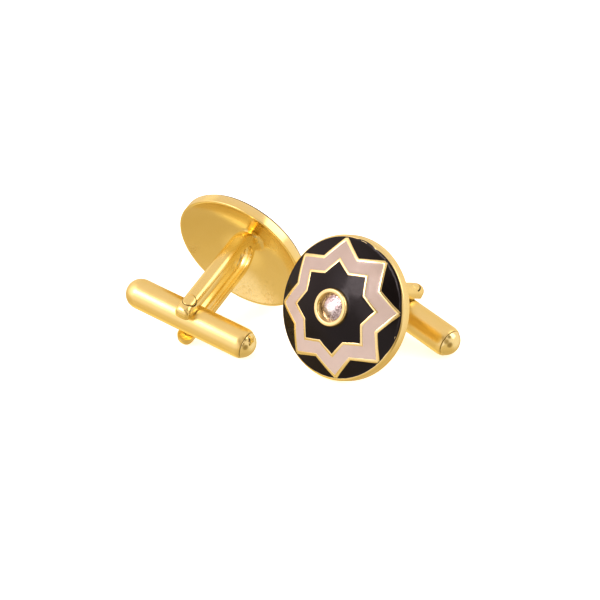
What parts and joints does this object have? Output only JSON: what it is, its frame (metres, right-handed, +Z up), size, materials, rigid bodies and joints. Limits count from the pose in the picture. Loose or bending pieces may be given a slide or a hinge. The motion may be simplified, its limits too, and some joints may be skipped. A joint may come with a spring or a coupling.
{
  "type": "cufflink",
  "caption": "Pair of round domed cufflinks with star-patterned black and pink enamel, a bezel-set stone, and a swivelling bar between the arms of a U-shaped post.",
  "frame": {"origin": "on the table, under the middle of the box round the pair", "axes": "+X from the left cufflink to the right one as pictured, +Y away from the viewer, +Z up"},
  "size_m": [0.0442, 0.0318, 0.0181],
  "materials": {
    "polished_gold": "polished gold plate",
    "satin_gold": "polished gold plate with a soft satin back",
    "black_enamel": "glossy opaque enamel",
    "pink_enamel": "glossy opaque enamel",
    "clear_stone": "cut and polished",
    "spring_steel": "plain"
  },
  "bodies": {
    "cufflinks": {"right_face_plate": "satin_gold", "right_border_enamel": "black_enamel", "right_star_enamel": "pink_enamel", "right_centre_enamel": "black_enamel", "right_bezel": "polished_gold", "right_stone": "clear_stone", "right_post": "polished_gold", "right_solder_seat": "polished_gold", "right_hinge_pin": "polished_gold", "left_face_plate": "satin_gold", "left_border_enamel": "black_enamel", "left_star_enamel": "pink_enamel", "left_centre_enamel": "black_enamel", "left_bezel": "polished_gold", "left_stone": "clear_stone", "left_post": "polished_gold", "left_solder_seat": "polished_gold", "left_hinge_pin": "polished_gold"},
    "right_bar": {"right_swivel_bar": "polished_gold", "right_bar_plug": "polished_gold", "right_detent_plunger": "spring_steel", "right_detent_spring": "spring_steel"},
    "left_bar": {"left_swivel_bar": "polished_gold", "left_bar_plug": "polished_gold", "left_detent_plunger": "spring_steel", "left_detent_spring": "spring_steel"}
  },
  "joints": [
    {"name": "right_bar_swivel", "type": "hinge", "parent": "cufflinks", "child": "right_bar", "pos_m": [0.01454, 0.00077, 0.00403], "axis": [0.4335, 0.1224, 0.8928], "continuous": true},
    {"name": "left_bar_swivel", "type": "hinge", "parent": "cufflinks", "child": "left_bar", "pos_m": [-0.01354, -0.00092, 0.00403], "axis": [-0.0167, 0.4501, -0.8928], "continuous": true}
  ]
}
